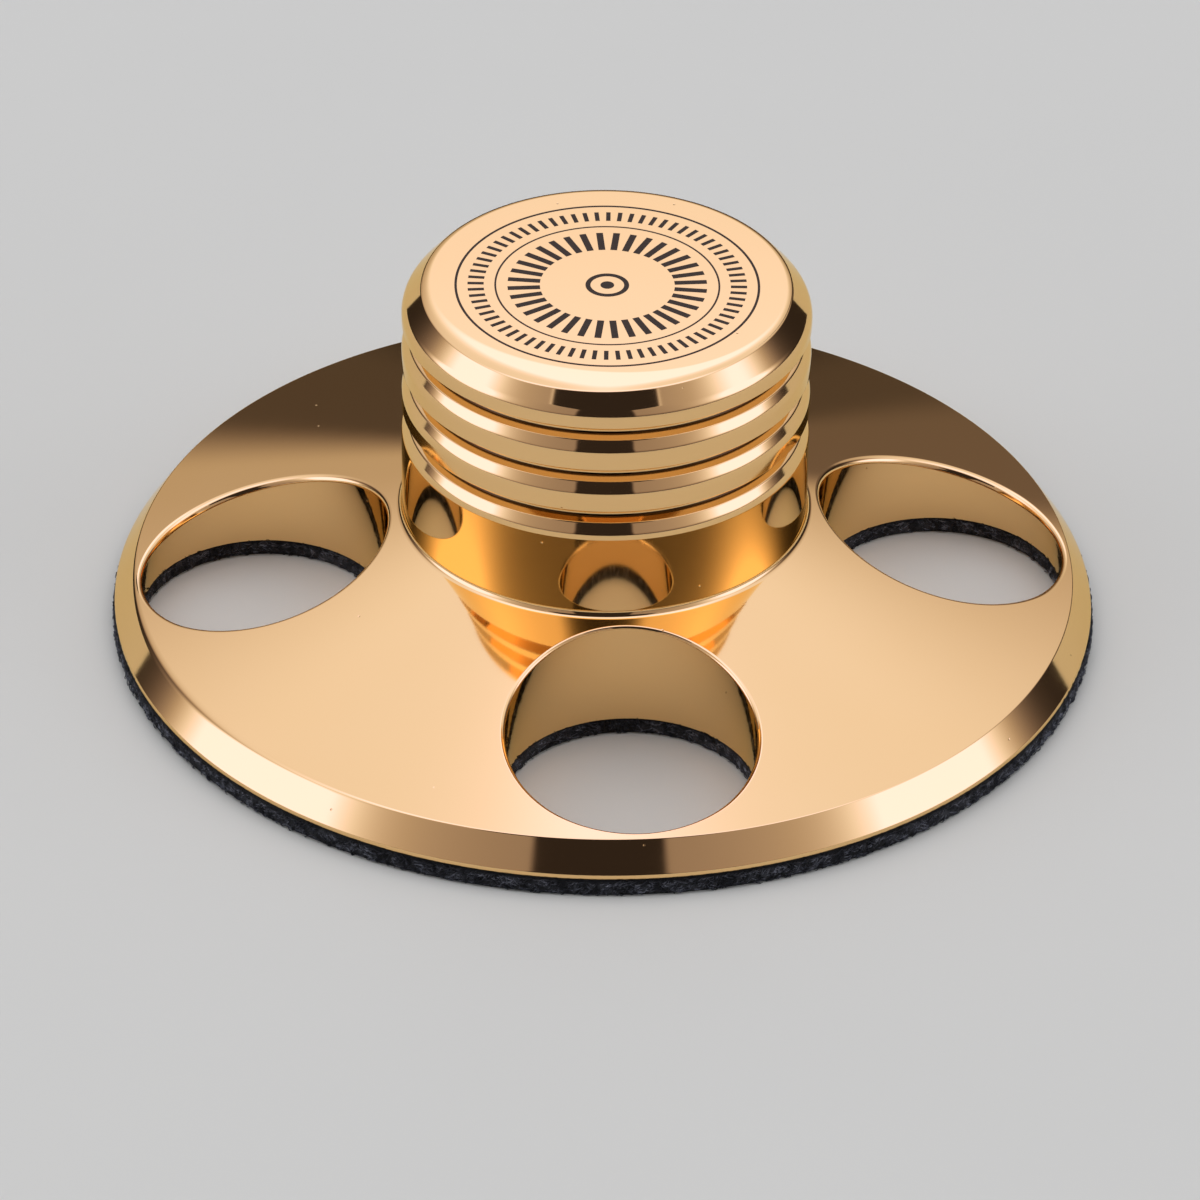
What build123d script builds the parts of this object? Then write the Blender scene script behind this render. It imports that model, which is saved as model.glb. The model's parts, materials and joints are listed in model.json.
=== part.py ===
from build123d import *
import os
from math import atan2, hypot, radians, tan

# A record weight, turned from one bar: a ringed knob on a shallow cone that four holes
# lighten, with a felt pad glued underneath. Lengths are in millimetres. The axis is Z,
# the pad's underside is z = 0, and the holes lie on the X and Y axes.

# Disc, from the rim inwards
disc_radius = 40.0
rim_land = 0.5
rim_bevel_width = 1.6
rim_bevel_height = 2.35
cone_rise = 6.35

# Knob, from the cone upwards
knob_radius = 16.5
lower_band = 8.0
shoulder_width = 0.5
shoulder_height = 0.45
shoulder_flat = 0.05
ring_band = 2.05
top_band = 1.2
top_bevel_width = 1.7
top_bevel_height = 1.95

# Grooves between the knob's rings: their faces slope to a narrow floor, as a tapered tool leaves them
groove_count = 3
groove_mouth = 1.4
groove_depth = 1.15
groove_face_angle = 27.0

# Holes through the cone, and the metal left on each side of them
hole_count = 4
knob_web = 1.2
rim_web = 0.7

# Blind bore for the turntable's spindle, drilled from below
spindle_radius = 3.6
spindle_clearance = 0.1
bore_depth = 18.0
bore_mouth = 0.5
drill_point_angle = 118.0

# Polished edges: roundings, and the width of the bevel round each hole
foot_fillet = 0.6
bevel_rounding = 1.6
hole_chamfer = 0.25

# Felt pad
pad_thickness = 1.4
pad_inset = 0.1
pad_bore_gap = 1.0

# Heights, each standing on the one before
land_top = pad_thickness + rim_land
cone_foot = land_top + rim_bevel_height
knob_foot = cone_foot + cone_rise
lower_band_top = knob_foot + lower_band
ring_pitch = shoulder_height + groove_mouth + ring_band
top_band_foot = lower_band_top + groove_count * ring_pitch - ring_band
top_bevel_foot = top_band_foot + top_band
overall_height = top_bevel_foot + top_bevel_height
bore_end = pad_thickness + bore_depth

# Radii
cone_radius = disc_radius - rim_bevel_width
shoulder_radius = knob_radius - shoulder_width
groove_radius = knob_radius - groove_depth
top_radius = knob_radius - top_bevel_width
hole_radius = (cone_radius - rim_web - knob_radius - knob_web) / 2
hole_circle_radius = knob_radius + knob_web + hole_radius
bore_radius = spindle_radius + spindle_clearance
drill_point = bore_radius / tan(radians(drill_point_angle / 2))

# Each ring's upper edge rolls over into the groove, up to a short flat
shoulder_run = hypot(shoulder_width, shoulder_height)
shoulder_turn = atan2(shoulder_width, shoulder_height)
shoulder_rounding = (shoulder_run - shoulder_flat) / tan(shoulder_turn / 2)

# Half of the turned section, as corners of radius, height and rounding
section_corners = [
    (0, bore_end + drill_point, 0),
    (bore_radius, bore_end, 0),
    (bore_radius, pad_thickness + bore_mouth, 0),
    (bore_radius + bore_mouth, pad_thickness, 0),
    (disc_radius, pad_thickness, 0),
    (disc_radius, land_top, 0),
    (cone_radius, cone_foot, 0),
    (knob_radius, knob_foot, foot_fillet),
]
groove_slope = tan(radians(groove_face_angle))
for groove in range(groove_count):
    band_top = lower_band_top + groove * ring_pitch
    groove_foot = band_top + shoulder_height
    groove_top = groove_foot + groove_mouth
    section_corners += [
        (knob_radius, band_top, shoulder_rounding),
        (shoulder_radius, groove_foot, 0),
        (groove_radius, groove_foot + (shoulder_radius - groove_radius) * groove_slope, 0),
        (groove_radius, groove_top - groove_depth * groove_slope, 0),
        (knob_radius, groove_top, 0),
    ]
section_corners += [
    (knob_radius, top_bevel_foot, bevel_rounding),
    (top_radius, overall_height, 0),
    (0, overall_height, 0),
]

# Knob and disc, one turned piece with the holes bored through its cone
with BuildPart() as weight_body:
    with BuildSketch(Plane.XZ):
        with BuildLine():
            FilletPolyline(
                [(radius, height) for radius, height, rounding in section_corners],
                radius=[rounding for radius, height, rounding in section_corners],
                close=True,
            )
        make_face()
    revolve(axis=Axis.Z)
    turned_edges = weight_body.edges()
    with BuildSketch(Plane.XY):
        with PolarLocations(hole_circle_radius, hole_count):
            Circle(hole_radius)
    extrude(amount=knob_foot, mode=Mode.SUBTRACT)
    hole_edges = weight_body.edges() - turned_edges
    cone_edges = hole_edges.filter_by(GeomType.CIRCLE, reverse=True).filter_by(GeomType.LINE, reverse=True)
    chamfer(cone_edges, length=hole_chamfer)

# Felt pad, cut to the disc's outline and holes
with BuildPart() as felt_pad:
    with BuildSketch(Plane.XY):
        Circle(disc_radius - pad_inset)
        Circle(bore_radius + bore_mouth + pad_bore_gap, mode=Mode.SUBTRACT)
        with PolarLocations(hole_circle_radius, hole_count):
            Circle(hole_radius + pad_inset, mode=Mode.SUBTRACT)
    extrude(amount=pad_thickness)

os.makedirs("parts", exist_ok=True)
weight_body.part.label = "weight_body"
export_step(weight_body.part, "parts/weight_body.step")
felt_pad.part.label = "felt_pad"
export_step(felt_pad.part, "parts/felt_pad.step")
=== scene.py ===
import json
import math

import bpy
import numpy as np
from mathutils import Matrix, Vector


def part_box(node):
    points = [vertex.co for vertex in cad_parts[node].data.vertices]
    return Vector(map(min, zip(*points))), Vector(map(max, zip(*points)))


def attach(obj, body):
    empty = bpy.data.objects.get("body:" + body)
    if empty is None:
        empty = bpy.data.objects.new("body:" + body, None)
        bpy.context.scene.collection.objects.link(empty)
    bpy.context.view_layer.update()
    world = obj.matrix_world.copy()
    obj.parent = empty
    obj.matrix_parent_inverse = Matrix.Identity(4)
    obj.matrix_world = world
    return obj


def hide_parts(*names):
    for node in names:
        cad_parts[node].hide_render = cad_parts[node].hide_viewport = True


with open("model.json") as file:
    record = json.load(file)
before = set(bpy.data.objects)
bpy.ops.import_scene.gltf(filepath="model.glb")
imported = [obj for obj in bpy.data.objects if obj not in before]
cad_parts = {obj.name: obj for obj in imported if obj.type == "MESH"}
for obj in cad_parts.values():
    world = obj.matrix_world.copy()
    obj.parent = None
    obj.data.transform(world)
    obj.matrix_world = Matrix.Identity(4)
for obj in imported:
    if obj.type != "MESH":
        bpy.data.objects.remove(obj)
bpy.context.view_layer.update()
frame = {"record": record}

# Sizes in the dictionaries are millimetres and degrees. Meshes are in metres, on the CAD's own axes:
# Z is the weight's axis, the pad's underside is z = 0, and the four holes lie on the X and Y axes.
mm = 0.001
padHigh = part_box("felt_pad")[1] / mm
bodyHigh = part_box("weight_body")[1] / mm
discRadius = bodyHigh.x
overallHeight = bodyHigh.z
padTop = padHigh.z
padRadius = padHigh.x
boreMount = [m for m in frame["record"]["mounts"] if m["name"] == "spindle_bore"][0]
boreRadius = boreMount["dims"]["r_mm"]
rightHole = np.array(frame["record"]["physics"]["openings"][0]["box_m"]) / mm
holePitch = rightHole[:, 0].mean()      # from the axis to a hole's centre
holeCount = 4
print("frame loaded: disc radius", round(discRadius, 3), "height", round(overallHeight, 3))


# Shared mesh tools


def smoothStep(low, high, value):
    # 0 below low, 1 above high, and an S-shaped cubic in between
    share = np.clip((value - low) / (high - low), 0.0, 1.0)
    return share * share * (3.0 - 2.0 * share)


def unit(vectors):
    return vectors / np.linalg.norm(vectors, axis=-1, keepdims=True)


def circleAngles(count):
    return np.arange(count) * (2.0 * math.pi / count)


def gridQuads(rows, columns, closed):
    # Corner numbers of a grid's quads; a closed grid joins its last column to its first
    row, column = np.meshgrid(np.arange(rows - 1), np.arange(columns - (not closed)), indexing="ij")
    after = (column + 1) % columns
    here, above = row * columns, (row + 1) * columns
    return np.stack([here + column, here + after, above + after, above + column], axis=-1).reshape(-1, 4)


def turnedGrid(corners, angles, arcSteps):
    # A turned section carried round Z. A corner is radius, height and rounding, each of which may vary with
    # the angle. At a corner the normal turns evenly from one run to the next, and the point lies one
    # rounding from the arc's centre, on the normal's side where the corner is convex.
    sizes = [[np.broadcast_to(size, angles.shape) for size in corner] for corner in corners]
    radius, height, rounding = np.array(sizes).transpose(1, 0, 2)
    run = unit(np.stack([np.diff(radius, axis=0), np.diff(height, axis=0)], axis=-1))
    facing = np.stack([run[..., 1], -run[..., 0]], axis=-1)
    tilt = np.arctan2(facing[..., 1], facing[..., 0])
    turn = (np.diff(tilt, axis=0) + math.pi) % (2.0 * math.pi) - math.pi
    reach = (np.sign(turn) * rounding[1:-1])[..., None]
    cut = (rounding[1:-1] * np.tan(abs(turn) / 2.0))[..., None]
    place = np.stack([radius, height], axis=-1)
    centre = place[1:-1] - run[:-1] * cut - facing[:-1] * reach
    share = np.linspace(0.0, 1.0, arcSteps + 1)[None, :, None]
    arcTilt = tilt[:-1, None] + turn[:, None] * share
    arcFacing = np.stack([np.cos(arcTilt), np.sin(arcTilt)], axis=-1)
    arcPlace = centre[:, None] + arcFacing * reach[:, None]
    place = np.concatenate([place[:1], arcPlace.reshape(-1, len(angles), 2), place[-1:]])
    facing = np.concatenate([facing[:1], arcFacing.reshape(-1, len(angles), 2), facing[-1:]])
    return carriedRound(place, angles), carriedRound(facing, angles)


def carriedRound(section, angles):
    # Radius and height become x, y and z at each angle
    across, height = section[..., 0], section[..., 1] + 0.0 * angles
    return np.stack([across * np.cos(angles), across * np.sin(angles), height], axis=-1)


def quarterLoop(quarter, innerRadius, outerRadius, angles):
    # Once round a quarter of the disc, a hole in its middle: along the outer arc, in along a straight side,
    # back along the inner arc and out along the other side. Both radii are given for every angle.
    sideSteps = 24
    steps = len(angles) // holeCount
    first = quarter * steps - steps // 2
    there = np.arange(first, first + steps) % len(angles)
    back = np.arange(first + steps, first, -1) % len(angles)
    sides = np.arange(sideSteps) / sideSteps
    endSide, startSide = back[0], there[0]
    inward = outerRadius[endSide] + (innerRadius[endSide] - outerRadius[endSide]) * sides
    outward = innerRadius[startSide] + (outerRadius[startSide] - innerRadius[startSide]) * sides
    radius = np.concatenate([outerRadius[there], inward, innerRadius[back], outward])
    angle = np.concatenate([angles[there], np.full(sideSteps, angles[endSide]), angles[back],
                            np.full(sideSteps, angles[startSide])])
    return np.stack([radius * np.cos(angle), radius * np.sin(angle)], axis=-1)


def holeCentre(quarter):
    angle = quarter * 2.0 * math.pi / holeCount
    return holePitch * np.array([math.cos(angle), math.sin(angle)])


def between(firstRow, lastRow, rows):
    # Straight lines from each point of one row to its partner in another
    share = np.linspace(0.0, 1.0, rows)[:, None, None]
    return firstRow + (lastRow - firstRow) * share


def steady(vector, grid):
    return np.broadcast_to(np.array(vector, float), grid.shape)


def addPiece(name, mesh, material):
    piece = bpy.data.objects.new(name, mesh)
    bpy.context.scene.collection.objects.link(piece)
    mesh.materials.append(material)
    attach(piece, "root")
    print(name, "made:", len(mesh.vertices), "points,", len(mesh.polygons), "faces")
    return piece


def weldedMesh(name, points, cornerNormals, quads):
    # Points at one place become one; a quad that closes on a pole becomes a triangle
    weldGap = 1e-4
    _, kept, number = np.unique(np.round(points / weldGap), axis=0, return_index=True, return_inverse=True)
    quads = number.reshape(-1)[quads]
    doubled = quads == np.roll(quads, -1, axis=1)
    whole = ~doubled.any(axis=1)
    pinched = doubled.sum(axis=1) == 1
    faces = quads[whole].tolist() + quads[pinched][~doubled[pinched]].reshape(-1, 3).tolist()
    mesh = bpy.data.meshes.new(name)
    mesh.from_pydata(points[kept] * mm, [], faces, shade_flat=False)
    if cornerNormals is not None:
        fans = cornerNormals[pinched][~doubled[pinched]].reshape(-1, 3)
        mesh.normals_split_custom_set(np.concatenate([cornerNormals[whole].reshape(-1, 3), fans]))
    return mesh


def patchMesh(name, patches):
    # Each patch is a grid of points, their normals, and whether its columns close. Its quads are turned to
    # face along the normals, which are kept, so that reflections are as smooth as the formulas.
    points, normals, quads = [], [], []
    count = 0
    for grid, facing, closed in patches:
        flat, flatFacing = grid.reshape(-1, 3), facing.reshape(-1, 3)
        faces = gridQuads(*grid.shape[:2], closed)
        across = np.cross(flat[faces[:, 2]] - flat[faces[:, 0]], flat[faces[:, 3]] - flat[faces[:, 1]])
        if (across * flatFacing[faces].mean(axis=1)).sum() < 0.0:
            faces = faces[:, ::-1]
        points.append(flat)
        normals.append(flatFacing)
        quads.append(faces + count)
        count += len(flat)
    quads = np.concatenate(quads)
    return weldedMesh(name, np.concatenate(points), np.concatenate(normals)[quads], quads)


# Materials


def newMaterial(name):
    material = bpy.data.materials.new(name)
    material.use_nodes = True
    nodes = material.node_tree.nodes
    return material, nodes, material.node_tree.links, nodes["Principled BSDF"]


def addNode(nodes, kind, **values):
    node = nodes.new(kind)
    for key, value in values.items():
        if hasattr(node, key):
            setattr(node, key, value)
        else:
            node.inputs[key].default_value = value
    return node


def mixColours(nodes, links, factor, first, second):
    mix = addNode(nodes, "ShaderNodeMix", data_type="RGBA")
    for key, colour in (("A", first), ("B", second)):
        if isinstance(colour, tuple):
            mix.inputs[key].default_value = (*colour, 1.0)
        else:
            links.new(colour, mix.inputs[key])
    links.new(factor, mix.inputs["Factor"])
    return mix.outputs["Result"]


def softRange(nodes, links, source, start, end):
    # 0 at the start and 1 at the end, with a smooth step between
    node = addNode(nodes, "ShaderNodeMapRange", interpolation_type="SMOOTHSTEP")
    node.inputs["From Min"].default_value = start
    node.inputs["From Max"].default_value = end
    links.new(source, node.inputs["Value"])
    return node.outputs["Result"]


def combined(nodes, links, operation, first, second):
    node = addNode(nodes, "ShaderNodeMath", operation=operation)
    for socket, value in zip(node.inputs, (first, second)):
        if isinstance(value, float):
            socket.default_value = value
        else:
            links.new(value, socket)
    return node.outputs["Value"]


def noiseAt(nodes, links, place, size, **values):
    # Noise whose features are about this size
    noise = addNode(nodes, "ShaderNodeTexNoise", Scale=1.0 / (size * mm), **values)
    links.new(place, noise.inputs["Vector"])
    return noise.outputs["Fac"]


def addBump(nodes, links, shader, height, depth):
    bump = addNode(nodes, "ShaderNodeBump", Strength=1.0, Distance=depth * mm)
    links.new(height, bump.inputs["Height"])
    links.new(bump.outputs["Normal"], shader.inputs["Normal"])


def grained(name, finish):
    # Two close tones, mixed by a fine grain
    material, nodes, links, shader = newMaterial(name)
    place = addNode(nodes, "ShaderNodeTexCoord").outputs["Object"]
    grain = noiseAt(nodes, links, place, finish["grainSize"], Detail=3.0)
    tint = mixColours(nodes, links, grain, finish["deep"], finish["pale"])
    links.new(tint, shader.inputs["Base Color"])
    shader.inputs["Roughness"].default_value = finish["roughness"]
    shader.inputs["Specular IOR Level"].default_value = finish["specular"]
    return material


goldFinish = {
    "pale": (0.95, 0.61, 0.28),
    "deep": (0.94, 0.59, 0.255),
    "grazing": (1.0, 0.90, 0.62),       # tint that is left where it is seen almost edge on
    "roughness": (0.035, 0.075),
    "cloudSize": 14.0,                  # of the faint change of tint
    "smearSize": 2.5,                   # of the polish's smears
    "speckCell": 1.6,                   # a dust pit lies in some of the cells of this size
    "speckShare": 0.12,                 # share of the cells that have one
    "speckRange": (0.02, 0.07),         # its floor and its brim, in cells
    "speckDepth": 0.02,
    "paintedGrooveShade": (0.075, 0.038, 0.014),   # painted shade: dark brown in the inner corner of each groove
    "paintedShadeReach": (0.30, 0.14),       # distances from the groove's floor where it starts and is full
    "paintedShadeFoot": (0.20, 0.27),        # heights above the groove's foot where it starts and is full,
    "paintedShadeTop": (0.47, 0.41),         # and from the other side
}


def paintedGrooveShadeMask(nodes, links, place):
    # Mask of the painted shade: 1 in the inner corner of every groove, by distance from the axis and by
    # height, which repeats per ring
    w = weightBody
    below = ("rimLand", "rimBevelHeight", "coneRise", "lowerBand", "shoulderHeight")
    firstFoot = padTop + sum(w[key] for key in below)
    pitch = w["shoulderHeight"] + w["grooveMouth"] + w["ringBand"]
    grooveRadius = w["knobRadius"] - w["grooveDepth"]
    level = addNode(nodes, "ShaderNodeVectorMath", operation="MULTIPLY")
    level.inputs[1].default_value = (1.0, 1.0, 0.0)
    links.new(place, level.inputs[0])
    radius = addNode(nodes, "ShaderNodeVectorMath", operation="LENGTH")
    links.new(level.outputs["Vector"], radius.inputs[0])
    start, end = (grooveRadius + reach for reach in goldFinish["paintedShadeReach"])
    corner = softRange(nodes, links, radius.outputs["Value"], start * mm, end * mm)
    split = addNode(nodes, "ShaderNodeSeparateXYZ")
    links.new(place, split.inputs["Vector"])
    height = combined(nodes, links, "SUBTRACT", split.outputs["Z"], firstFoot * mm)
    grooved = combined(nodes, links, "LESS_THAN", height, (w["grooveCount"] - 0.5) * pitch * mm)
    corner = combined(nodes, links, "MULTIPLY", corner, grooved)
    height = combined(nodes, links, "FLOORED_MODULO", height, pitch * mm)
    for limits in ("paintedShadeFoot", "paintedShadeTop"):
        start, end = goldFinish[limits]
        inside = softRange(nodes, links, height, start * mm, end * mm)
        corner = combined(nodes, links, "MULTIPLY", corner, inside)
    return corner


def mirrorGold():
    material, nodes, links, shader = newMaterial("mirrorGold")
    place = addNode(nodes, "ShaderNodeTexCoord").outputs["Object"]
    cloud = noiseAt(nodes, links, place, goldFinish["cloudSize"], Detail=2.0)
    tint = mixColours(nodes, links, cloud, goldFinish["deep"], goldFinish["pale"])
    paintedGrooveShade = paintedGrooveShadeMask(nodes, links, place)
    # Painted shade: the inner corner of each groove is mixed to a dark brown
    tint = mixColours(nodes, links, paintedGrooveShade, tint, goldFinish["paintedGrooveShade"])
    links.new(tint, shader.inputs["Base Color"])
    shader.inputs["Metallic"].default_value = 1.0
    shader.inputs["Specular Tint"].default_value = (*goldFinish["grazing"], 1.0)
    smear = noiseAt(nodes, links, place, goldFinish["smearSize"], Detail=5.0)
    blur = addNode(nodes, "ShaderNodeMapRange")
    blur.inputs["To Min"].default_value, blur.inputs["To Max"].default_value = goldFinish["roughness"]
    links.new(smear, blur.inputs["Value"])
    links.new(blur.outputs["Result"], shader.inputs["Roughness"])
    # Dust pits: a dip round the middle of a few Voronoi cells
    cells = addNode(nodes, "ShaderNodeTexVoronoi", Scale=1.0 / (goldFinish["speckCell"] * mm))
    links.new(place, cells.inputs["Vector"])
    dip = softRange(nodes, links, cells.outputs["Distance"], *goldFinish["speckRange"])
    lot = addNode(nodes, "ShaderNodeSeparateColor")
    links.new(cells.outputs["Color"], lot.inputs["Color"])
    spared = combined(nodes, links, "GREATER_THAN", lot.outputs["Red"], goldFinish["speckShare"])
    level = combined(nodes, links, "MAXIMUM", dip, spared)
    addBump(nodes, links, shader, level, goldFinish["speckDepth"])
    return material


feltFinish = {
    "dark": (0.006, 0.0065, 0.009),
    "light": (0.064, 0.067, 0.083),
    "fibreSize": 0.18,
    "tuftSize": 0.8,
    "shadeRange": (0.20, 0.36),
    "fibreDepth": 0.15,
    "paintedFootShade": (-0.15, 0.5),  # heights between which the painted shade at the foot of the edge lightens
    "paintedTopShade": (1.36, 1.10),   # and those where its top darkens: painted shadow under the metal
    "roughness": 0.95,
    "specular": 0.15,
    "sheen": 0.12,
    "fibreLift": 5.0,           # how much paler loose fibres are than the felt that they lie on
}


def blackFelt(name, brightness):
    # Mottled by fibres and tufts together, and darkened by height along the pad's edge: painted shade at its
    # foot and painted shadow at its top
    material, nodes, links, shader = newMaterial(name)
    place = addNode(nodes, "ShaderNodeTexCoord").outputs["Object"]
    fibre = noiseAt(nodes, links, place, feltFinish["fibreSize"], Detail=6.0, Roughness=0.7, Distortion=1.5)
    tuft = noiseAt(nodes, links, place, feltFinish["tuftSize"], Detail=3.0)
    mottle = combined(nodes, links, "MULTIPLY", fibre, tuft)
    mottleAndPaintedShade = softRange(nodes, links, mottle, *feltFinish["shadeRange"])
    height = addNode(nodes, "ShaderNodeSeparateXYZ")
    links.new(place, height.inputs["Vector"])
    # Painted shade: darker towards the foot of the edge, and a painted shadow at its top under the metal
    for limits in ("paintedFootShade", "paintedTopShade"):
        start, end = feltFinish[limits]
        paintedLitShare = softRange(nodes, links, height.outputs["Z"], start * mm, end * mm)
        mottleAndPaintedShade = combined(nodes, links, "MULTIPLY", mottleAndPaintedShade, paintedLitShare)
    dark, light = (tuple(brightness * np.array(feltFinish[tone])) for tone in ("dark", "light"))
    tint = mixColours(nodes, links, mottleAndPaintedShade, dark, light)
    links.new(tint, shader.inputs["Base Color"])
    shader.inputs["Roughness"].default_value = feltFinish["roughness"]
    shader.inputs["Specular IOR Level"].default_value = feltFinish["specular"]
    shader.inputs["Sheen Weight"].default_value = feltFinish["sheen"]
    addBump(nodes, links, shader, fibre, feltFinish["fibreDepth"])
    return material


inkFinish = {
    "deep": (0.056, 0.043, 0.040),
    "pale": (0.086, 0.066, 0.061),
    "grainSize": 0.3,
    "roughness": 0.55,
    "specular": 0.0,            # a dull ink
}


# Weight body: knob and disc, turned from one bar, with four holes through the cone

weightBody = {
    "steps": 384,               # round the axis, a multiple of eight
    "rimLand": 0.5,
    "rimBevelWidth": 1.6,
    "rimBevelHeight": 2.35,
    "coneRise": 6.35,
    "knobRadius": 16.5,
    "lowerBand": 7.5,
    "grooveCount": 3,
    "grooveMouth": 1.4,
    "grooveDepth": 1.15,
    "grooveAngle": 27.0,        # both faces of a groove slope to its floor
    "grooveLean": 0.07,         # how far the foot of its floor is cut under
    "shoulderWidth": 0.5,       # each ring's upper edge rolls over into the groove
    "shoulderHeight": 0.95,
    "ringBand": 1.55,
    "topBand": 1.2,
    "topEdge": 14.8,            # radius of the top face
    "holeRadius": 10.0,
    "boreDepth": 18.0,
    "boreMouth": 0.5,
    "drillPoint": 2.22,
    "footFillet": 0.6,
    "lipRounding": (0.55, 0.30),        # holes' lips: softened, and where they stayed crisp
    "lipCrispAt": (270.0, 38.0),        # middle and half width of that stretch
    "lipRimShare": 0.72,                # of that rounding, on the side next to the rim
    "lipRimSpan": (0.7, 1.0),           # cosines of the turn from that side where this starts and is full
    "lipRows": 9,
    "rimRounding": 0.25,
    "shoulderRounding": 1.5,
    "shelfRounding": 0.33,      # between the shoulder and the groove
    "grooveRounding": (0.30, 0.12),     # at the foot and the top of the groove's floor
    "crispRounding": 0.08,
    "bevelRounding": 1.6,
    "edgeRounding": (0.2, 1.4),         # cone's outer edge: crisp, and where the buffing wheel softened it
    "edgeSoftAt": (205.0, 30.0),
    "topRollOff": (0.25, 1.40),         # run of the top face that the wheel turned down, likewise
    "topSoftAt": (250.0, 55.0),
    "topRollAngle": 20.0,
    "topRollShare": 0.8,                # of that run, taken up by the rounding at its start
    "brinkRounding": 0.4,
}


def softened(limits, stretch, angles):
    # From the first value to the second one and back, as a bell curve along the angle
    away = (np.degrees(angles) - stretch[0] + 180.0) % 360.0 - 180.0
    return limits[0] + (limits[1] - limits[0]) * np.exp(-((away / stretch[1]) ** 2))


def makeWeightBody(material, topHeight):
    w = weightBody
    angles = circleAngles(w["steps"])
    everywhere = np.ones_like(angles)
    landTop = padTop + w["rimLand"]
    coneFoot = landTop + w["rimBevelHeight"]
    knobFoot = coneFoot + w["coneRise"]
    coneRadius = discRadius - w["rimBevelWidth"]
    slope = w["coneRise"] / (coneRadius - w["knobRadius"])
    coneTilt = math.atan(slope)

    def coneHeight(radius):
        return coneFoot + (coneRadius - radius) * slope

    def coneNormal(points):
        outward = unit(points[..., :2]) * math.sin(coneTilt)
        return np.concatenate([outward, np.full((*outward.shape[:-1], 1), math.cos(coneTilt))], axis=-1)

    # Where the cone runs into the foot's fillet and into its own outer edge
    footCut = w["footFillet"] * math.tan((math.pi / 2.0 - coneTilt) / 2.0)
    footRadius = (w["knobRadius"] + footCut * math.cos(coneTilt)) * everywhere
    edgeRounding = softened(w["edgeRounding"], w["edgeSoftAt"], angles)
    bevelTilt = math.atan2(w["rimBevelHeight"], w["rimBevelWidth"])
    edgeRadius = coneRadius - edgeRounding * math.tan((bevelTilt - coneTilt) / 2.0) * math.cos(coneTilt)

    # Bore, from the drill's point down to the underside, and the rim from there to the cone
    boreEnd = padTop + w["boreDepth"]
    mouthRadius = boreRadius + w["boreMouth"]
    underInner = mouthRadius + w["rimRounding"]
    underOuter = discRadius - 2.0 * w["rimRounding"]
    bore = [
        (0.0, boreEnd + w["drillPoint"], 0.0),
        (boreRadius, boreEnd, w["crispRounding"]),
        (boreRadius, padTop + w["boreMouth"], w["crispRounding"]),
        (mouthRadius, padTop, w["crispRounding"]),
        (underInner, padTop, 0.0),
    ]
    rim = [
        (underOuter, padTop, 0.0),
        (discRadius, padTop, w["rimRounding"]),
        (discRadius, landTop, w["rimRounding"]),
        (coneRadius, coneFoot, edgeRounding),
        (edgeRadius, coneHeight(edgeRadius), 0.0),
    ]

    # Knob, from the cone up to the middle of its top
    knobRadius = w["knobRadius"]
    grooveRadius = knobRadius - w["grooveDepth"]
    underRadius = grooveRadius - w["grooveLean"]
    shoulderRadius = knobRadius - w["shoulderWidth"]
    grooveSlope = math.tan(math.radians(w["grooveAngle"]))
    pitch = w["shoulderHeight"] + w["grooveMouth"] + w["ringBand"]
    lowerBandTop = knobFoot + w["lowerBand"]
    knob = [(footRadius, coneHeight(footRadius), 0.0), (knobRadius, knobFoot, w["footFillet"])]
    for groove in range(w["grooveCount"]):
        bandTop = lowerBandTop + groove * pitch
        grooveFoot = bandTop + w["shoulderHeight"]
        grooveTop = grooveFoot + w["grooveMouth"]
        floorFoot = grooveFoot + (shoulderRadius - underRadius) * grooveSlope
        knob += [
            (knobRadius, bandTop, w["shoulderRounding"]),
            (shoulderRadius, grooveFoot, w["shelfRounding"]),
            (underRadius, floorFoot, w["grooveRounding"][0]),
            (grooveRadius, grooveTop - w["grooveDepth"] * grooveSlope, w["grooveRounding"][1]),
            (knobRadius, grooveTop, w["crispRounding"]),
        ]
    bevelFoot = lowerBandTop + w["grooveCount"] * pitch - w["ringBand"] + w["topBand"]
    rollAngle = math.radians(w["topRollAngle"])
    roll = softened(w["topRollOff"], w["topSoftAt"], angles)
    bevelSlope = (overallHeight - bevelFoot) / (knobRadius - w["topEdge"])
    drop = roll * math.sin(rollAngle)
    brink = w["topEdge"] + drop / bevelSlope
    rollStart = brink - roll * math.cos(rollAngle)
    knob += [
        (knobRadius, bevelFoot, w["bevelRounding"]),
        (brink, topHeight - drop, w["brinkRounding"]),
        (rollStart, topHeight, w["topRollShare"] * roll / math.tan(rollAngle / 2.0)),
        (0.0, topHeight, 0.0),
    ]

    arcSteps = 6
    patches = [(*turnedGrid(section, angles, arcSteps), True) for section in (bore, rim, knob)]
    for quarter in range(holeCount):
        patches += holedQuarter(quarter, angles, footRadius, edgeRadius, coneHeight, coneNormal, slope)
        # Underside: straight lines from the hole's edge to the quarter's outline
        outline = quarterLoop(quarter, underInner * everywhere, underOuter * everywhere, angles)
        wallFoot = patches[-1][0][-1]
        outline = np.concatenate([outline, np.full((len(outline), 1), padTop)], axis=1)
        under = between(wallFoot, outline, rows=4)
        patches.append((under, steady((0.0, 0.0, -1.0), under), True))
    mesh = patchMesh("weightBody", patches)
    return addPiece("weightBody", mesh, material)


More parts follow.
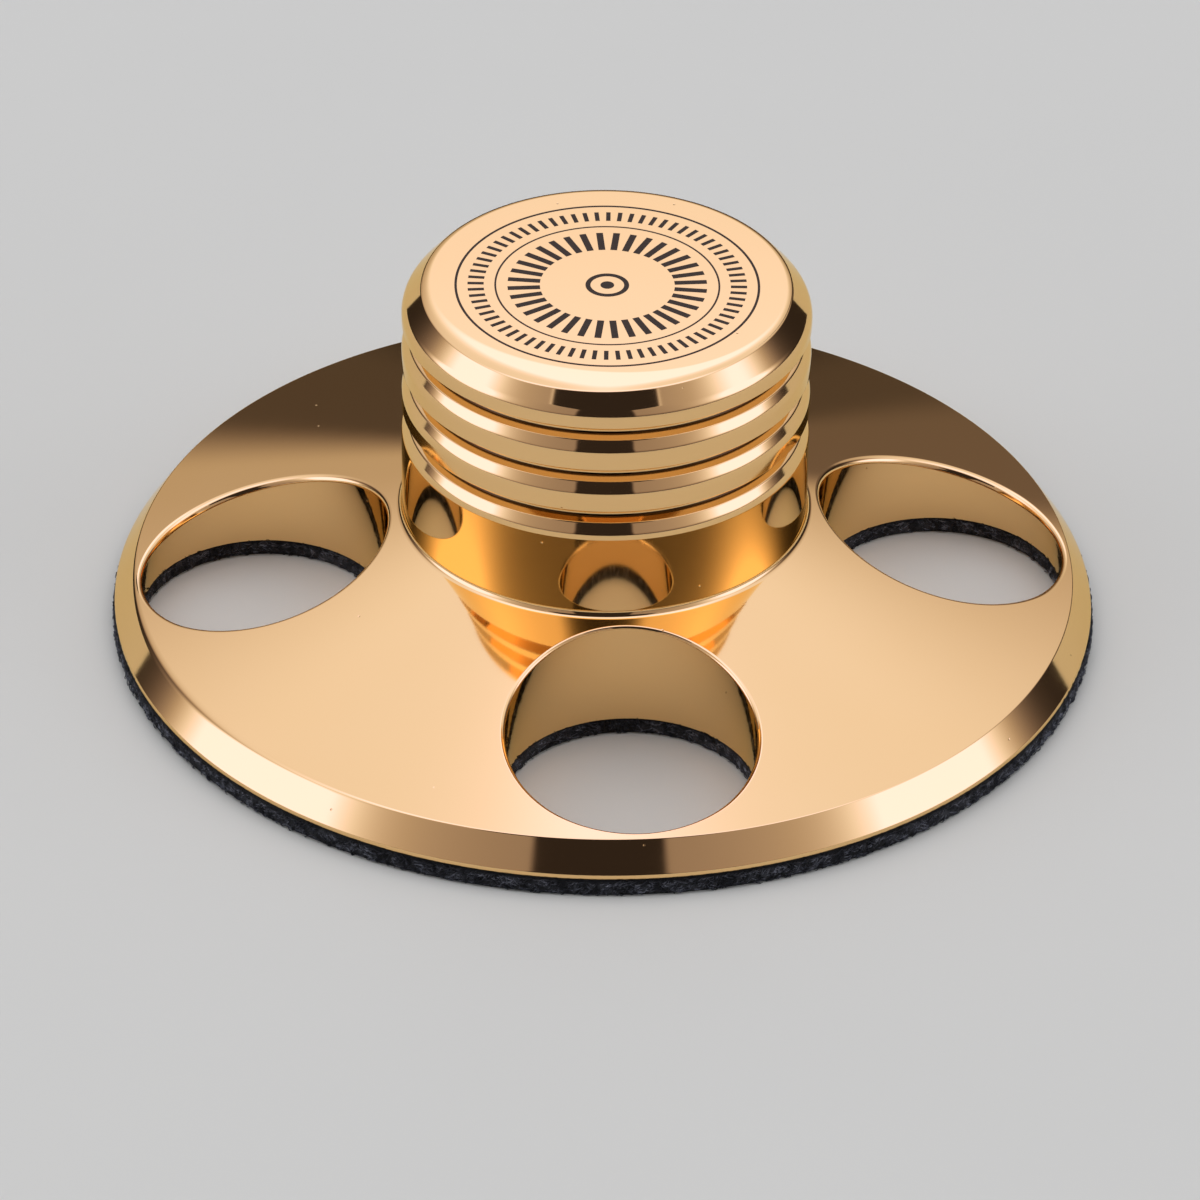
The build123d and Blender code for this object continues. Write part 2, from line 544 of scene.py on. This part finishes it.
def holedQuarter(quarter, angles, footRadius, edgeRadius, coneHeight, coneNormal, slope):
    # A quarter of the cone round its hole. The lip is an arc, in each upright plane through the hole's axis,
    # from the wall to the cone, so it rises and falls with the cone; below it the wall is straight.
    holeRadius = weightBody["holeRadius"]
    centre = holeCentre(quarter)
    outline = quarterLoop(quarter, footRadius, edgeRadius, angles)
    outward = unit(outline - centre)
    x, y = (centre + outward * holeRadius).T
    lip = softened(weightBody["lipRounding"], weightBody["lipCrispAt"], np.arctan2(y, x))
    rimward = smoothStep(*weightBody["lipRimSpan"], outward @ unit(centre))
    lip = lip * (1.0 - (1.0 - weightBody["lipRimShare"]) * rimward)
    fall = -slope * (unit(centre + outward * (holeRadius + lip)[:, None]) * outward).sum(axis=-1)
    lastTilt = np.arctan2(1.0, -fall)
    lipReach = holeRadius + lip * (1.0 + np.cos(lastTilt))
    lipEdge = centre + outward * lipReach[:, None]
    arcHeight = coneHeight(np.linalg.norm(lipEdge, axis=-1)) - lip * np.sin(lastTilt)
    share = np.linspace(0.0, 1.0, weightBody["lipRows"])[:, None]
    tilt = math.pi + (lastTilt - math.pi) * share
    reach = holeRadius + lip * (1.0 + np.cos(tilt))
    lipHeight = arcHeight + lip * np.sin(tilt)
    lipPoints = np.concatenate([centre + outward * reach[..., None], lipHeight[..., None]], axis=-1)
    # Normal of the lip: across both of its directions, and the cone's own where they meet
    along = np.roll(lipPoints, -1, axis=1) - np.roll(lipPoints, 1, axis=1)
    over = np.gradient(lipPoints, axis=0)
    lipNormals = unit(np.cross(along, over))
    lipNormals *= np.sign((lipNormals[..., :2] * -outward).sum(axis=-1) + lipNormals[..., 2])[..., None]
    lipNormals[-1] = coneNormal(lipPoints[-1])
    flat = between(lipPoints[-1, :, :2], outline, rows=9)
    cone = np.concatenate([flat, coneHeight(np.linalg.norm(flat, axis=-1))[..., None]], axis=-1)
    foot = np.concatenate([lipPoints[0, :, :2], np.full((len(outline), 1), padTop)], axis=1)
    wall = between(lipPoints[0], foot, rows=4)
    wallNormals = np.broadcast_to(np.concatenate([-outward, np.zeros((len(outward), 1))], axis=1), wall.shape)
    lipNormals[0] = wallNormals[0]
    return [(cone, coneNormal(cone), True), (lipPoints, lipNormals, True), (wall, wallNormals, True)]


# Top print: a dial of ticks and thin rings in place of lettering

topPrint = {
    "steps": 192,                                   # round the axis
    "film": 0.012,                                  # thickness of the ink
    "rings": [(1.35, 1.75), (8.9, 9.05), (12.05, 12.25)],      # inner and outer radius
    "ticks": [(5.4, 8.0, 36, 0.55), (9.9, 11.2, 72, 0.36)],    # inner and outer radius, count, width
    "dot": 0.55,
}


def makeTopPrint(material):
    p = topPrint
    low, high = overallHeight - p["film"], overallHeight
    angles = circleAngles(p["steps"])
    points, quads = [], []
    count = 0
    # A ring is a rectangle carried round the axis, and the dot is one that starts on the axis
    for inner, outer in [(0.0, p["dot"])] + p["rings"]:
        section = np.array([(inner, low), (outer, low), (outer, high), (inner, high), (inner, low)])
        ring = carriedRound(section[:, None], angles)
        points.append(ring.reshape(-1, 3))
        quads.append(gridQuads(len(section), len(angles), True) + count)
        count += len(points[-1])
    # A tick is a block of constant width along a radius
    for inner, outer, number, width in p["ticks"]:
        turn = circleAngles(number)[:, None]
        along = np.array([inner, outer, outer, inner] * 2)
        aside = np.array([-0.5, -0.5, 0.5, 0.5] * 2) * width
        height = np.broadcast_to(np.repeat([low, high], 4), (number, 8))
        blocks = np.stack([along * np.cos(turn) - aside * np.sin(turn),
                           along * np.sin(turn) + aside * np.cos(turn), height], axis=-1)
        sides = np.array([(3, 2, 1, 0), (4, 5, 6, 7), (0, 1, 5, 4), (1, 2, 6, 5), (2, 3, 7, 6), (3, 0, 4, 7)])
        points.append(blocks.reshape(-1, 3))
        quads.append((sides + 8 * np.arange(number)[:, None, None]).reshape(-1, 4) + count)
        count += len(points[-1])
    mesh = weldedMesh("topPrint", np.concatenate(points), None, np.concatenate(quads))
    mesh.polygons.foreach_set("use_smooth", np.zeros(len(mesh.polygons), bool))
    return addPiece("topPrint", mesh, material)


# Felt pad: cut to the disc's outline, with ragged edges

feltPad = {
    "seed": 7,
    "steps": 1024,
    "edgeRows": 9,
    "holeGap": 0.1,             # its holes are this much wider than the disc's
    "boreGap": 1.0,
    "bulge": 0.15,
    "ragged": 0.10,
    "waves": (60, 900),         # fewest and most ripples round the edge
    "waveCount": 40,            # sets of ripples that are added up
    "drift": 4.0,               # how far their phase strays up the edge, in radians
}


def raggedEdge(angles, share, random):
    # Ripples of many lengths, each a sine along the angle whose phase drifts up the edge, and a slight bulge
    waves = feltPad["waveCount"]
    ripples = random.integers(*feltPad["waves"], waves)[:, None, None]
    phase = random.uniform(0.0, 2.0 * math.pi, (waves, 1, 1))
    drift = random.normal(0.0, feltPad["drift"], (waves, 1, 1))
    ripple = np.sin(ripples * angles[None, None, :] + phase + drift * share[None, :, None]).sum(axis=0)
    inside = np.sin(math.pi * share)[:, None]
    return inside * feltPad["bulge"] + np.sqrt(inside) * ripple * feltPad["ragged"] / math.sqrt(waves)


def feltWall(centre, radius, angles, outward, random):
    # An upright edge of the pad, round one circle; outward is 1 for the rim and -1 for a hole
    share = np.linspace(0.0, 1.0, feltPad["edgeRows"])
    reach = radius + outward * raggedEdge(angles, share, random)
    x = centre[0] + reach * np.cos(angles)
    y = centre[1] + reach * np.sin(angles)
    wall = np.stack([x, y, np.broadcast_to(share[:, None] * padTop, x.shape)], axis=-1)
    along = np.roll(wall, -1, axis=1) - np.roll(wall, 1, axis=1)
    normals = unit(np.cross(along, np.gradient(wall, axis=0)))
    sideways = np.stack([np.cos(angles), np.sin(angles)], axis=-1) * outward
    return wall, normals * np.sign((normals[..., :2] * sideways).sum(axis=-1))[..., None], True


def makeFeltPad(material):
    random = np.random.default_rng(feltPad["seed"])
    angles = circleAngles(feltPad["steps"])
    everywhere = np.ones_like(angles)
    innerRadius = boreRadius + weightBody["boreMouth"] + feltPad["boreGap"]
    holeRadius = weightBody["holeRadius"] + feltPad["holeGap"]
    patches = [
        feltWall((0.0, 0.0), padRadius, angles, 1, random),
        feltWall((0.0, 0.0), innerRadius, angles, -1, random),
    ]
    for quarter in range(holeCount):
        centre = holeCentre(quarter)
        outline = quarterLoop(quarter, innerRadius * everywhere, padRadius * everywhere, angles)
        outward = unit(outline - centre)
        holeAngles = np.arctan2(outward[:, 1], outward[:, 0])
        patches.append(feltWall(centre, holeRadius, holeAngles, -1, random))
        edge = centre + outward * holeRadius
        for height, facing in ((0.0, -1.0), (padTop, 1.0)):
            flat = between(edge, outline, rows=4)
            sheet = np.concatenate([flat, np.full((*flat.shape[:2], 1), height)], axis=-1)
            patches.append((sheet, steady((0.0, 0.0, facing), sheet), True))
    pad = addPiece("feltPad", patchMesh("feltPad", patches), material)
    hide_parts("felt_pad")
    return pad


# Felt fuzz: loose fibres along the pad's cut edges

feltFuzz = {
    "seed": 11,
    "rimCount": 4800,
    "holeCount": 800,           # in each hole
    "rows": 5,                  # of points along a fibre
    "sides": 3,
    "length": (0.3, 1.2),
    "thickness": (0.030, 0.065),
    "standOff": (0.12, 0.26),
    "arch": (0.6, 1.0),         # share of half a sine wave that its bow follows
    "lean": (0.35, 0.6),        # from the edge's own direction, in radians: middle and spread
    "rootShare": (0.08, 0.92),  # of the pad's thickness, where it grows
    "clearance": 0.03,          # from the pad's two faces and from its edge
}


def makeFeltFuzz(material):
    f = feltFuzz
    random = np.random.default_rng(f["seed"])
    circles = [((0.0, 0.0), padRadius, 1.0, f["rimCount"])]
    holeRadius = weightBody["holeRadius"] + feltPad["holeGap"]
    circles += [(holeCentre(q), holeRadius, -1.0, f["holeCount"]) for q in range(holeCount)]
    fibres = np.concatenate([fibreBatch(*circle, random) for circle in circles])
    rows, sides = fibres.shape[1:3]
    quads = gridQuads(rows, sides, True) + (np.arange(len(fibres)) * rows * sides)[:, None, None]
    mesh = weldedMesh("feltFuzz", fibres.reshape(-1, 3), None, quads.reshape(-1, 4))
    return addPiece("feltFuzz", mesh, material)


def fibreBatch(centre, radius, outward, count, random):
    # A fibre leaves the edge, bows out along it and comes back. Its middle line is a root point plus a run
    # along the edge, a run up or down and a sine-shaped stand-off; its sides taper to a point at each end.
    f = feltFuzz

    def draw(limits):
        return random.uniform(*limits, (count, 1))

    share = np.linspace(0.0, 1.0, f["rows"])
    angle = draw((0.0, 2.0 * math.pi))
    length = draw(f["length"])
    lean = random.normal(*f["lean"], (count, 1))
    root = draw(f["rootShare"]) * padTop
    run = length * np.cos(lean) * (share - 0.5)
    rise = length * np.sin(lean) * (share - 0.5)
    height = np.clip(root + rise, f["clearance"], padTop - f["clearance"])
    stand = f["clearance"] + draw(f["standOff"]) * np.sin(math.pi * share * draw(f["arch"]))
    around = angle + run / radius
    thick = draw(f["thickness"]) * np.sqrt(np.sin(math.pi * share).clip(0.0))
    side = circleAngles(f["sides"])
    reach = radius + outward * (stand[..., None] + thick[..., None] * np.cos(side))
    points = np.stack([
        centre[0] + reach * np.cos(around)[..., None],
        centre[1] + reach * np.sin(around)[..., None],
        height[..., None] + thick[..., None] * np.sin(side),
    ], axis=-1)
    return points if outward > 0.0 else points[:, :, ::-1]


# Studio: a dome of diffusers round the weight, a pale floor and the camera

camera = {
    "lens": 255.0,
    "sensor": 36.0,
    "place": (-50.12, -577.12, 389.73),
    "azimuth": -4.94,           # 0 looks along +Y
    "elevation": 33.863,
    "roll": 0.792,
}

studio = {
    "radius": 8000.0,
    "floorRadius": 7900.0,
    "floorSteps": 96,
    "rows": 131,
    "columns": 480,
    "crowding": 0.7,                    # how much closer the columns lie on the camera's side
    "tintAt": (0.15, 0.5, 0.95, 1.4),   # the metal mirrors dim diffusers warmer and bright ones paler
    "tints": ((1.0, 0.85, 0.95), (1.0, 0.93, 0.97), (1.0, 1.05, 1.32), (1.0, 1.02, 1.72)),
    "roomGlow": 0.03,
    "fullGlow": 1.45,                   # the brightest that any diffuser gets
    "gap": (14.5, 34.0),                # dark half width at the camera, low down and high up
    "gapRise": (37.0, 48.0),            # elevations between which it widens
    "gapEdge": 2.0,                     # run over which the diffusers beside it come up
    "gapHem": (0.35, 1.5, 1.2),         # bright hem beside it high up: glow, distance and half width
    "skirtGlow": (0.30, 0.41),          # side diffusers beside the gap, and further round
    "skirtRamp": (15.0, 50.0),          # azimuths between which they brighten, and those where they end
    "skirtEnd": (80.0, 115.0),
    "footRise": ((-5.0, 10.0), (-3.0, 12.0)),   # elevations where they reach full brightness, left and right
    "hotGlow": (2.5, 2.0),              # brightest place of the left and right diffusers
    "hotAt": (81.0, 14.0),              # its azimuth from the camera, and elevation
    "hotWidth": (20.0, 25.0),           # half widths along azimuth and elevation
    "rearWidth": (22.0, 18.0),          # half width towards the back, left and right
    "backGlow": (0.055, 0.49, 0.90),    # backdrop: its dark foot, its pale part and the ceiling
    "backRise": ((10.3, 16.3), (17.5, 23.5)),   # elevations of the step between the first two, left and right
    "backLedge": (0.07, 6.5, 9.5),      # a fainter step below it on the right: its glow and elevations
    "backBlend": (-8.0, 8.0),           # azimuths between which its left side turns into its right one
    "backFoot": (1.0, 4.0),             # elevations where it begins
    "backSlope": (18.0, 52.0),          # and those between which it brightens into the ceiling
    "patchGlow": 1.6,                   # a brighter patch straight behind the weight
    "patchAt": (14.0, 50.0, 15.5),      # its half width, elevation and half height
    "ceilingFront": (-0.42, -0.36),     # slopes between which the ceiling ends above the camera
    "ceilingSide": (2.2, 0.9),          # and those between which it ends sideways
    "ceilingFlare": 0.3,                # how much wider it gets towards the back
    "lampGlow": 0.5,                    # overhead lamp
    "lampAt": (0.0, 0.22),              # its slope behind the zenith, and half width
    "lampSide": (1.0, 0.4),
}

floorFinish = {
    "deep": (0.73, 0.73, 0.725),
    "pale": (0.75, 0.75, 0.745),
    "grainSize": 40.0,
    "roughness": 0.8,
    "specular": 0.2,
}


def makeCamera():
    c = camera
    azimuth, elevation, roll = (math.radians(c[key]) for key in ("azimuth", "elevation", "roll"))
    forward = Vector((-math.sin(azimuth) * math.cos(elevation), math.cos(azimuth) * math.cos(elevation),
                      -math.sin(elevation)))
    right = Vector((math.cos(azimuth), math.sin(azimuth), 0.0))
    up = right.cross(forward)
    rolledRight = right * math.cos(roll) + up * math.sin(roll)
    rolledUp = up * math.cos(roll) - right * math.sin(roll)
    lens = bpy.data.cameras.new("camera")
    lens.lens = c["lens"]
    lens.sensor_width = c["sensor"]
    lens.clip_start, lens.clip_end = 0.01, 50.0
    eye = bpy.data.objects.new("camera", lens)
    eye.matrix_world = Matrix.Translation(Vector(c["place"]) * mm) @ Matrix(
        (rolledRight, rolledUp, -forward)).transposed().to_4x4()
    bpy.context.scene.collection.objects.link(eye)
    bpy.context.scene.camera = eye


def domeGlow(azimuth, elevation):
    # Brightness by direction. Azimuth is 0 at the camera, negative to its left, and 180 behind the weight.
    s = studio
    away = abs(azimuth)
    left = azimuth < 0.0
    # Side diffusers: dim beside the camera, with a bell-shaped bright place, narrower on its rear side
    high = smoothStep(*s["gapRise"], elevation)
    gap = s["gap"][0] + (s["gap"][1] - s["gap"][0]) * high
    hemGlow, hemAway, hemWidth = s["gapHem"]
    hem = hemGlow * high * np.exp(-((away - gap - hemAway) / hemWidth) ** 2)
    near, far = s["skirtGlow"]
    skirt = near + (far - near) * smoothStep(*s["skirtRamp"], away)
    skirt = skirt * smoothStep(*s["skirtEnd"][::-1], away)
    width = np.where(away < s["hotAt"][0], s["hotWidth"][0], np.where(left, *s["rearWidth"]))
    bell = np.exp(-((away - s["hotAt"][0]) / width) ** 2)
    bell = bell * np.exp(-((elevation - s["hotAt"][1]) / s["hotWidth"][1]) ** 2)
    sides = smoothStep(0.0, s["gapEdge"], away - gap) * (skirt + hem + np.where(left, *s["hotGlow"]) * bell)
    sides = sides * np.where(left, *(smoothStep(*rise, elevation) for rise in s["footRise"]))
    # Backdrop and ceiling: dark at the horizon, pale above a soft step, then slowly brighter. Slopes are run
    # over rise, back and sideways.
    rise = np.maximum(np.sin(np.radians(elevation)), 1e-3)
    behind = -np.cos(np.radians(elevation)) * np.cos(np.radians(azimuth)) / rise
    across = abs(np.cos(np.radians(elevation)) * np.sin(np.radians(azimuth))) / rise
    ceiling = smoothStep(*s["ceilingFront"], behind)
    foot, pale, top = s["backGlow"]
    ledge = s["backLedge"][0] * smoothStep(*s["backLedge"][1:], elevation)
    leftBack, rightBack = (smoothStep(*step, elevation) for step in s["backRise"])
    leftBack = foot + (pale - foot) * leftBack
    rightBack = (foot + ledge) * (1.0 - rightBack) + pale * rightBack
    rightward = smoothStep(*s["backBlend"], np.where(left, away - 180.0, 180.0 - away))
    back = leftBack + (rightBack - leftBack) * rightward
    back = back * smoothStep(*s["backFoot"], elevation)
    back = back + (top - pale) * smoothStep(*s["backSlope"], elevation)
    back = back * smoothStep(*s["ceilingSide"], across - s["ceilingFlare"] * np.maximum(behind, 0.0))
    halfWidth, middle, halfHeight = s["patchAt"]
    patch = s["patchGlow"] * np.exp(-((180.0 - away) / halfWidth) ** 2)
    patch = patch * np.exp(-((elevation - middle) / halfHeight) ** 2)
    lamp = s["lampGlow"] * np.exp(-((behind - s["lampAt"][0]) / s["lampAt"][1]) ** 2)
    lamp = lamp * smoothStep(*s["lampSide"], across)
    return np.minimum(s["roomGlow"] + np.maximum(sides, ceiling * (back + patch + lamp)), s["fullGlow"])


def diffuserLight():
    # The glow kept in the mesh. Its tint shows once mirrored: what it sheds on the floor and the felt, and
    # what the metal hands on from face to face, is plain white.
    material = bpy.data.materials.new("diffuser")
    material.use_nodes = True
    nodes, links = material.node_tree.nodes, material.node_tree.links
    nodes.clear()
    kept = addNode(nodes, "ShaderNodeAttribute", attribute_name="glow")
    path = addNode(nodes, "ShaderNodeLightPath")
    handedOn = combined(nodes, links, "GREATER_THAN", path.outputs["Glossy Depth"], 1.5)
    plain = combined(nodes, links, "MAXIMUM", handedOn, path.outputs["Is Diffuse Ray"])
    white = addNode(nodes, "ShaderNodeSeparateColor")
    links.new(kept.outputs["Color"], white.inputs["Color"])
    tinted = mixColours(nodes, links, plain, kept.outputs["Color"], white.outputs["Red"])
    light = addNode(nodes, "ShaderNodeEmission")
    links.new(tinted, light.inputs["Color"])
    links.new(light.outputs["Emission"], addNode(nodes, "ShaderNodeOutputMaterial").inputs["Surface"])
    material.cycles.emission_sampling = "NONE"      # so smooth a dome needs no aimed rays
    return material


def makeStudio():
    # Half a sphere of directions, with its brightness kept at every point. The columns lie closer round the
    # camera's side: their azimuth is an even turn less a share of its sine.
    crowding = studio["crowding"]
    evenTurn = circleAngles(studio["columns"]) - math.pi
    azimuth = np.degrees(evenTurn - crowding * np.sin(evenTurn))
    elevation = np.linspace(-1.0, 90.0, studio["rows"])
    turn = np.radians(azimuth - 90.0 + camera["azimuth"])
    rise = np.radians(elevation)[:, None]
    dome = studio["radius"] * np.stack([np.cos(rise) * np.cos(turn), np.cos(rise) * np.sin(turn),
                                        np.broadcast_to(np.sin(rise), (len(elevation), len(turn)))], axis=-1)
    glow = domeGlow(azimuth[None, :], elevation[:, None])
    level = np.sin(rise) * np.cos(rise) * (rise > 0.0) * (1.0 - crowding * np.cos(evenTurn))
    print("a level white card reads", round((level * glow).sum() / level.sum(), 3))
    tint = [np.interp(glow, studio["tintAt"], channel) for channel in np.transpose(studio["tints"])]
    colour = np.stack([*(glow * np.array(tint)), np.ones_like(glow)], axis=-1)
    mesh = bpy.data.meshes.new("studioDome")
    faces = gridQuads(len(elevation), len(azimuth), True)
    mesh.from_pydata(dome.reshape(-1, 3) * mm, [], faces.tolist(), shade_flat=False)
    kept = mesh.attributes.new("glow", "FLOAT_COLOR", "POINT")
    kept.data.foreach_set("color", colour.astype(np.float32).ravel())
    mesh.materials.append(diffuserLight())
    stageObject("studioDome", mesh)


def makeFloor():
    angles = circleAngles(studio["floorSteps"])
    section = np.array([(0.0, 0.0), (studio["floorRadius"], 0.0)])
    disc = carriedRound(section[:, None], angles)
    mesh = weldedMesh("floor", disc.reshape(-1, 3), None, gridQuads(len(section), len(angles), True)[:, ::-1])
    mesh.materials.append(grained("paleFloor", floorFinish))
    stageObject("floor", mesh)


def stageObject(name, mesh):
    thing = bpy.data.objects.new(name, mesh)
    bpy.context.scene.collection.objects.link(thing)
    print(name, "placed")


gold = mirrorGold()
felt = blackFelt("blackFelt", 1.0)
fibres = blackFelt("feltFibres", feltFinish["fibreLift"])
ink = grained("greyInk", inkFinish)
print("materials made")

body = makeWeightBody(gold, overallHeight - topPrint["film"])
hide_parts("weight_body")
makeTopPrint(ink)
makeFeltPad(felt)
makeFeltFuzz(fibres)

makeCamera()
makeStudio()
makeFloor()
scene = bpy.context.scene
scene.view_settings.view_transform = "Standard"
scene.world = bpy.data.worlds.new("dark")
scene.world.use_nodes = True
scene.world.node_tree.nodes["Background"].inputs["Color"].default_value = (0.0, 0.0, 0.0, 1.0)
print("studio made")
